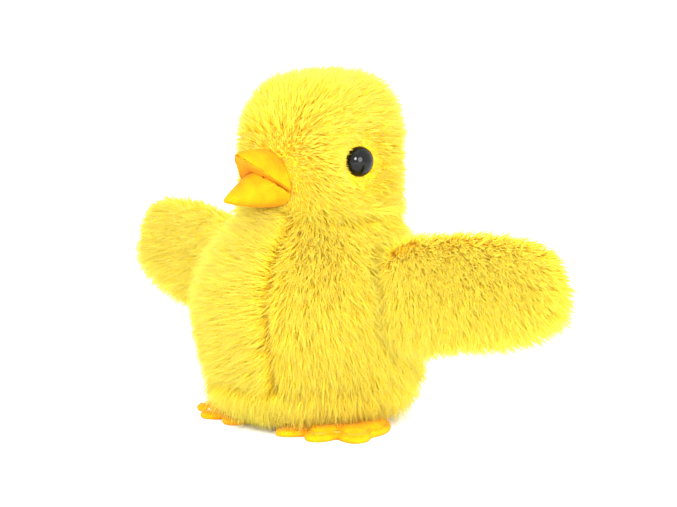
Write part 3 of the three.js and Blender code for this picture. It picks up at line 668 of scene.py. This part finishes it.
def wing_comb(side):
    """Outwards and down from the parting at the shoulder."""

    def comb(points, normals):
        parting = np.array([side * 34 * MM, SHOULDER.y, 60 * MM])
        away = unit(points - parting)
        away[:, 0] += side * 0.4
        away[:, 2] -= 0.45
        return away

    return comb


def clear_of_seams(points):
    """The share of hairs kept: fewer on the sewn seams of the body, where the pile parts."""
    around = bearing_of(points)
    off = np.abs(np.abs(around) - CHEST_SEAM) * BODY_RADIUS
    parted = (off < 0.8 * MM) & (points[:, 2] > BELLY_SEAM)
    off_belly = np.abs(points[:, 2] - BELLY_SEAM) < 0.6 * MM
    return np.where(parted | off_belly, 0.25, 1.0)


def clear_of_shaft(points):
    """No pile where the winding shaft leaves the right flank."""
    _, y, z = middle_of("shaft_sleeve")
    off = np.hypot(points[:, 1] - y, points[:, 2] - z)
    return np.where((off < 3.8 * MM) & (points[:, 0] < 0), 0.0, 1.0)


def beside_knob(points):
    """Shorter pile round the winding knob on the right flank, so that the knob turns clear of it."""
    _, y, z = middle_of("winding_knob")
    off = np.hypot(points[:, 1] - y, points[:, 2] - z)
    short = 0.35 + 0.65 * smooth_step(off, 9 * MM, 24 * MM)
    return np.where((points[:, 0] < 0) & (points[:, 0] > -60 * MM), short, 1.0)


def body_length(points):
    """Longest round the skirt, which hangs over the feet, and short beside the winding knob."""
    low = 1 - smooth_step(points[:, 2], 14 * MM, 34 * MM)
    skirt = 1 + 0.28 * low
    return 11.2 * MM * skirt * beside_knob(points)


def outer_only(points, normals):
    """Whether each point of a walled backing looks outwards from its axis, or up."""
    axis = np.stack([np.zeros(len(points)), setback(points[:, 2]), points[:, 2]], axis=1)
    return (np.sum((points - axis) * normals, axis=1) > -0.2 * MM) | (normals[:, 2] > 0.9)


def make_body_plush(material, backing):
    """The body's backing and its pile: breast panel, two flanks and two halves of the back."""
    mesh = body_backing()
    skin = new_object("body_backing", mesh, backing)
    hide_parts("body_plush")
    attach(skin, "body")
    panels = {
        "breast_pile": (BREAST_HAIRS, lambda a: np.abs(a) <= CHEST_SEAM),
        "flank_pile_left": (FLANK_HAIRS, lambda a: (a > CHEST_SEAM) & (a <= FLANK_END)),
        "flank_pile_right": (FLANK_HAIRS, lambda a: (a < -CHEST_SEAM) & (a >= -FLANK_END)),
        "back_pile_left": (BACK_HAIRS, lambda a: a > FLANK_END),
        "back_pile_right": (BACK_HAIRS, lambda a: a < -FLANK_END),
    }
    for seed, (name, (count, inside)) in enumerate(panels.items()):

        def wanted(points, normals, inside=inside):
            low = points[:, 2] > HEM + 3.5 * MM
            top = points[:, 2] < NECK - 0.3 * MM
            here = outer_only(points, normals) & low & top & inside(bearing_of(points))
            return here * clear_of_seams(points) * clear_of_shaft(points)

        pile = grow_pile(name, mesh, count, wanted, body_comb, body_length, material, 10 + seed)
        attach(pile, "body")


def make_head_plush(material, backing):
    """The head's backing and its pile, left and right, kept short beside the eyes and the beak."""
    mesh = head_backing()
    skin = new_object("head_backing", mesh, backing)
    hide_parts("head_plush")
    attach(skin, "body")
    eyes = [np.array([side * EYE_SEAT.x, EYE_SEAT.y, EYE_SEAT.z]) for side in (1, -1)]
    beak = np.array([0, AXIS_BACK + 6 * MM - HEAD_RADIUS + 4 * MM, 81.5 * MM])

    def near_face(points):
        """Distance to the nearest eye or to the beak's root."""
        off = np.min([np.linalg.norm(points - eye, axis=1) for eye in eyes], axis=0)
        return off, np.linalg.norm(points - beak, axis=1)

    def length(points):
        off_eye, off_beak = near_face(points)
        beside_eye = 0.3 + 0.7 * smooth_step(off_eye, 6 * MM, 13 * MM)
        beside_beak = 0.5 + 0.5 * smooth_step(off_beak, 10 * MM, 17 * MM)
        crest = smooth_step(points[:, 2], CROWN - 24 * MM, CROWN - 9 * MM)
        behind = smooth_step(points[:, 1] - setback(points[:, 2]), -4 * MM, 10 * MM)
        return (9.0 + 2.6 * crest * behind) * MM * beside_eye * beside_beak

    for seed, (name, side) in enumerate((("head_pile_left", 1), ("head_pile_right", -1))):

        def wanted(points, normals, side=side):
            off_eye, off_beak = near_face(points)
            clear = (off_eye > 5.4 * MM) & (off_beak > 8 * MM)
            return outer_only(points, normals) & clear & (points[:, 0] * side >= 0)

        pile = grow_pile(name, mesh, HEAD_HAIRS, wanted, head_comb, length, material, 30 + seed)
        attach(pile, "body")


def make_wings(material, backing):
    """Both wings: a stuffed backing with pile on its two faces, set at the shoulder."""
    for name, side in SIDES:
        mesh = wing_backing(name, side)
        skin = new_object(f"wing_backing_{name}", mesh, backing)
        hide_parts(f"wing_plush_{name}")
        pieces = [skin]
        for seed, (face, sign) in enumerate((("front", -1), ("back", 1))):

            def wanted(points, normals, sign=sign, side=side):
                outside = np.abs(points[:, 0]) > 35 * MM
                return (normals[:, 1] * sign >= 0) & outside

            def length(points):
                away = np.abs(points[:, 0]) - SHOULDER.x
                out = smooth_step(away, 6 * MM, 44 * MM)
                middle = SHOULDER.z + away * WING_RISE
                under = 1 - smooth_step(points[:, 2], middle - 9 * MM, middle + 5 * MM)
                long = 8.2 + 0.8 * out + under * (3.2 + 3.2 * out)
                return long * MM * beside_knob(points)

            pile = grow_pile(
                f"wing_pile_{face}_{name}",
                mesh,
                WING_FACE_HAIRS,
                wanted,
                wing_comb(side),
                length,
                material,
                50 + seed + 2 * (side > 0),
            )
            pieces.append(pile)
        for piece in pieces:
            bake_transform(piece)


# ---------------------------------------------------------------- face

EYE_RADIUS = 5 * MM
EYE_DOME = 4.4 * MM
EYE_HEIGHT = middle_of("eye_left")[2]
EYE_BEARING = math.radians(78)
EYE_DEPTH = HEAD_RADIUS - 4.7 * MM
EYE_SEAT = Vector(
    (
        math.sin(EYE_BEARING) * EYE_DEPTH,
        setback(EYE_HEIGHT) - math.cos(EYE_BEARING) * EYE_DEPTH,
        EYE_HEIGHT,
    )
)


def make_eyes(material):
    """Domed safety eyes on ribbed shanks."""
    for name, side in SIDES:
        dome = [
            (EYE_RADIUS * math.cos(turn), 0.5 * MM + (EYE_DOME - 0.5 * MM) * math.sin(turn))
            for turn in np.linspace(0, math.pi / 2, 20)
        ]
        dome[-1] = (0.0, EYE_DOME)
        shank = [(0.0, -9 * MM), (1.2 * MM, -9 * MM), (1.5 * MM, -8.6 * MM)]
        for rib in range(5):
            low = (-8 + rib * 1.4) * MM
            shank += [(1.5 * MM, low), (1.3 * MM, low + 0.3 * MM), (1.5 * MM, low + 0.6 * MM)]
        rim = [(1.5 * MM, 0.0), (EYE_RADIUS - 0.3 * MM, 0.0), (EYE_RADIUS, 0.25 * MM)]
        bm = lathe(shank + rim + dome, 64)
        out = Vector((side * math.sin(EYE_BEARING), -math.cos(EYE_BEARING), 0))
        turn = out.to_track_quat("Z", "Y").to_matrix().to_4x4()
        seat = Vector((side * EYE_SEAT.x, EYE_SEAT.y, EYE_SEAT.z))
        bmesh.ops.transform(bm, matrix=turn, verts=bm.verts)
        bmesh.ops.translate(bm, verts=bm.verts, vec=seat)
        eye = new_object(f"glossy_eye_{name}", mesh_of(f"glossy_eye_{name}", bm), material)
        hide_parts(f"eye_{name}")
        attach(eye, "body")


BEAK_HEIGHT = 80.2 * MM
BEAK_ROOT = setback(BEAK_HEIGHT) - HEAD_RADIUS + 4 * MM
BEAK_HALF_WIDTH = 10.4 * MM
BEAK_PROFILE = [(1.0, 0.0), (0.9, 0.18), (0.68, 0.46), (0.42, 0.72), (0.17, 0.93), (0.0, 1.0)]
MOUTH_RISE = 0.7
MOUTH_LINE = 0.5 * MM
CORNER_DROOP = 0.19


def beak_pad(name, length, half_height, lift, side):
    """One stuffed felt pad of the beak, cut along the slanting mouth, its corners drawn down. side is 1
    for the upper pad and -1 for the lower."""
    bm = lathe(np.vstack([[(0.0, 0.0)], smooth_line(BEAK_PROFILE, 6)]), 64)
    for vert in bm.verts:
        x, y, z = vert.co
        vert.co = (
            x * BEAK_HALF_WIDTH,
            BEAK_ROOT - z * length,
            BEAK_HEIGHT + y * half_height + z * lift,
        )
    mouth = Vector((0, BEAK_ROOT, BEAK_HEIGHT - MOUTH_LINE + side * 0.2 * MM))
    cut = bmesh.ops.bisect_plane(
        bm,
        geom=bm.verts[:] + bm.edges[:] + bm.faces[:],
        plane_co=mouth,
        plane_no=side * Vector((0, MOUTH_RISE, 1)).normalized(),
        clear_inner=True,
    )
    rim = [item for item in cut["geom_cut"] if isinstance(item, bmesh.types.BMEdge)]
    lips = bmesh.ops.contextual_create(bm, geom=rim)["faces"]
    edges = [edge for edge in bm.edges if any(face in lips for face in edge.link_faces)]
    bmesh.ops.bevel(
        bm, geom=edges, offset=0.5 * MM, segments=3, profile=0.5, affect="EDGES", material=-1
    )
    for vert in bm.verts:
        vert.co.z -= CORNER_DROOP * abs(vert.co.x)
    return mesh_of(name, bm)


def make_beak(material):
    """Two pads of stuffed felt that stand open at the front."""
    upper = beak_pad("beak_upper_felt", 14.6 * MM, 10.6 * MM, 9.6 * MM, 1)
    lower = beak_pad("beak_lower_felt", 19.6 * MM, 7 * MM, -4.3 * MM, -1)
    for mesh, node in ((upper, "upper_beak"), (lower, "lower_beak")):
        piece = new_object(mesh.name, mesh, material)
        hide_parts(node)
        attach(piece, "body")


# ---------------------------------------------------------------- feet

ANKLE_X = 16.5 * MM
ANKLE_BACK = AXIS_BACK + 2 * MM
TOE_LENGTH = 28 * MM
WEB_LENGTH = 21 * MM
HEEL_LENGTH = 11 * MM
TOE_SPREAD = math.radians(30)
FOOT_SPLAY = math.radians(21)
FOOT_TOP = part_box("felt_upper_left")[1].z
STITCH_SHARE = 0.95
STITCH_HEIGHT = 2.2 * MM
STITCH_SPACING = 2.6 * MM
RIM_STEPS = 1440


def foot_reach(turn):
    """Distance from the ankle to the rim of a foot: three round toes, a web and a round heel."""
    turn = (turn + math.pi) % (2 * math.pi) - math.pi
    fan_edge = 1.5 * TOE_SPREAD
    beyond = max(0.0, (abs(turn) - fan_edge) / (math.pi - fan_edge))
    if beyond > 0:
        return HEEL_LENGTH + (WEB_LENGTH - HEEL_LENGTH) * (1 - beyond) ** 2
    toe = abs(math.cos(math.pi * turn / TOE_SPREAD)) ** 0.9
    return WEB_LENGTH + (TOE_LENGTH - WEB_LENGTH) * toe


def foot_spot(side, turn, share, height):
    """A point of a foot from its bearing, its share of the way to the rim and its height."""
    bearing = -math.pi / 2 + side * (FOOT_SPLAY + turn)
    radius = foot_reach(turn) * share
    return Vector(
        (
            side * ANKLE_X + radius * math.cos(bearing),
            ANKLE_BACK + radius * math.sin(bearing),
            height,
        )
    )


def make_feet(felt, thread):
    """Felt over and under the foot plate, pinched flat and oversewn round the rim. Each row is a share of
    the way to the rim and a height."""
    rows = [
        (0.0, 0.0),
        (0.5, 0.0),
        (0.9, 0.0),
        (0.985, 0.15 * MM),
        (1.0, 0.9 * MM),
        (0.99, 1.7 * MM),
        (0.965, 2.1 * MM),
        (0.925, 2.15 * MM),
        (0.895, 2.5 * MM),
        (0.85, 3.4 * MM),
        (0.78, FOOT_TOP - 0.2 * MM),
        (0.66, FOOT_TOP),
        (0.3, FOOT_TOP),
        (0.0, FOOT_TOP),
    ]
    for name, side in SIDES:
        bm = lathe(rows, 180)
        for vert in bm.verts:
            x, y, z = vert.co
            vert.co = foot_spot(side, math.atan2(y, x), math.hypot(x, y), z)
        foot = new_object(f"foot_felt_{name}", mesh_of(f"foot_felt_{name}", bm), felt)
        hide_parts(f"felt_sole_{name}", f"felt_upper_{name}")
        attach(foot, "legs")

        bm = bmesh.new()
        travelled = 0.0
        before = foot_spot(side, -math.pi, STITCH_SHARE, STITCH_HEIGHT)
        for step in range(1, RIM_STEPS):
            turn = -math.pi + step / RIM_STEPS * 2 * math.pi
            here = foot_spot(side, turn, STITCH_SHARE, STITCH_HEIGHT)
            travelled += (here - before).length
            if travelled >= STITCH_SPACING:
                travelled = 0.0
                run = (here - before).normalized()
                made = bmesh.ops.create_uvsphere(bm, u_segments=6, v_segments=4, radius=1.0)
                scale = Matrix.Diagonal((0.85 * MM, 0.26 * MM, 0.22 * MM, 1))
                turned = run.to_track_quat("X", "Z").to_matrix().to_4x4()
                bmesh.ops.transform(
                    bm, matrix=Matrix.Translation(here) @ turned @ scale, verts=made["verts"]
                )
            before = here
        stitches = new_object(f"foot_stitches_{name}", mesh_of(f"foot_stitches_{name}", bm), thread)
        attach(stitches, "legs")


# ---------------------------------------------------------------- studio

CAMERA_BEARING = math.radians(45)
CAMERA_RISE = math.radians(7.5)
CAMERA_DISTANCE = 0.7
# The width seen at the chick in metres, and the sensor's in millimetres.
VIEW_WIDTH = 0.2234
SENSOR_WIDTH = 36.0
AIM_RIGHT = 0.0097
AIM_HEIGHT = 0.0557
SURROUND_STRENGTH = 2.0
FLOOR_HALF_SIZE = 6.0
# Each lamp's name, place, diameter and power.
LAMPS = (
    ("overhead_lamp", (0.15, -0.2, 0.9), 0.6, 1.0),
    ("front_lamp", (-0.35, -0.9, 0.35), 0.5, 1.8),
    ("side_lamp", (0.95, -0.25, 0.3), 0.5, 6.5),
    ("back_lamp", (-0.6, 0.8, 0.35), 0.5, 5.0),
    ("catch_light", (0.56, -0.62, 0.4), 0.26, 7.0),
)


def make_camera():
    """A long lens from the chick's front left, a little above its middle."""
    away = Vector(
        (
            math.sin(CAMERA_BEARING) * math.cos(CAMERA_RISE),
            -math.cos(CAMERA_BEARING) * math.cos(CAMERA_RISE),
            math.sin(CAMERA_RISE),
        )
    )
    right = Vector((math.cos(CAMERA_BEARING), math.sin(CAMERA_BEARING), 0))
    aim = right * AIM_RIGHT + Vector((0, 0, AIM_HEIGHT))
    data = bpy.data.cameras.new("camera")
    data.sensor_width = SENSOR_WIDTH
    data.lens = SENSOR_WIDTH * CAMERA_DISTANCE / VIEW_WIDTH
    camera = bpy.data.objects.new("camera", data)
    bpy.context.scene.collection.objects.link(camera)
    camera.location = aim + away * CAMERA_DISTANCE
    camera.rotation_euler = (-away).to_track_quat("-Z", "Y").to_euler()
    bpy.context.scene.camera = camera


def make_studio():
    """A pale plain floor, a bright even surround, and soft lamps over and beside the chick."""
    bpy.context.scene.view_settings.view_transform = "Standard"
    world = bpy.data.worlds.new("pale_surround")
    bpy.context.scene.world = world
    world.use_nodes = True
    background = world.node_tree.nodes["Background"]
    background.inputs["Color"].default_value = linear("#FFFFFF")
    background.inputs["Strength"].default_value = SURROUND_STRENGTH
    bm = bmesh.new()
    bmesh.ops.create_grid(bm, x_segments=1, y_segments=1, size=FLOOR_HALF_SIZE)
    material, _, shader = new_material("matt_white_backdrop_board", "#FFFFFF", 0.9)
    shader.inputs["Specular IOR Level"].default_value = 0.1
    floor = new_object("floor", mesh_of("floor", bm), material)
    for name, place, size, power in LAMPS:
        data = bpy.data.lights.new(name, "AREA")
        data.shape = "DISK"
        data.size = size
        data.energy = power
        lamp = bpy.data.objects.new(name, data)
        bpy.context.scene.collection.objects.link(lamp)
        lamp.location = place
        toward = Vector((0, 0, CAD_HIGH.z / 2)) - Vector(place)
        lamp.rotation_euler = toward.to_track_quat("-Z", "Y").to_euler()


# ---------------------------------------------------------------- the chick

make_camera()
make_studio()

# Pile colours: the root is painted shade, the middle is the pile's yellow, and the tip is a painted
# highlight.
pile = pile_material_painted_shade("dyed_pile_painted_shade", "#FFD608", "#FDEA24", "#FBF480")
backing = backing_material()
felt = felt_material("pressed_golden_felt", "#E39A00", "#C87C00")
beak_felt = felt_material("pressed_amber_felt", "#D08800", "#B26C00")
thread = felt_material("golden_sewing_thread", "#F0A000", "#C87800")
eye_black = moulded_material("polished_black_acrylic", "#050506", 0.04, grain_mm=2.0, depth_mm=0.002)
eye_black.node_tree.nodes["Principled BSDF"].inputs["Specular IOR Level"].default_value = 0.22
wadding = felt_material("polyester_wadding", "#F6F2E6", "#DAD4C2")
white_plastic = moulded_material("moulded_white_abs", "#BDB9AE", 0.42)
amber_plastic = moulded_material("moulded_amber_pp", "#D08A14", 0.4)
gear_plastic = moulded_material("moulded_acetal", "#B9B4A2", 0.35)
steel = metal_material("bright_drawn_steel", "#C2C4C8", 0.28, (1.0, 6.0, 6.0))
spring_steel = metal_material("blued_spring_steel", "#6C7686", 0.34, (6.0, 1.0, 1.0))
brass = metal_material("stamped_brass", "#D1A94E", 0.3, (1.0, 1.0, 6.0))
finishes = {
    "fur": backing,
    "wadding": wadding,
    "felt": felt,
    "eye_black": eye_black,
    "white_plastic": white_plastic,
    "amber_plastic": amber_plastic,
    "gear_plastic": gear_plastic,
    "steel": steel,
    "spring_steel": spring_steel,
    "brass": brass,
}
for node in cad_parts.values():
    for slot in node.material_slots:
        slot.material = finishes[slot.material.name]

make_body_plush(pile, backing)
make_head_plush(pile, backing)
make_wings(pile, backing)
make_eyes(eye_black)
make_beak(beak_felt)
make_feet(felt, thread)
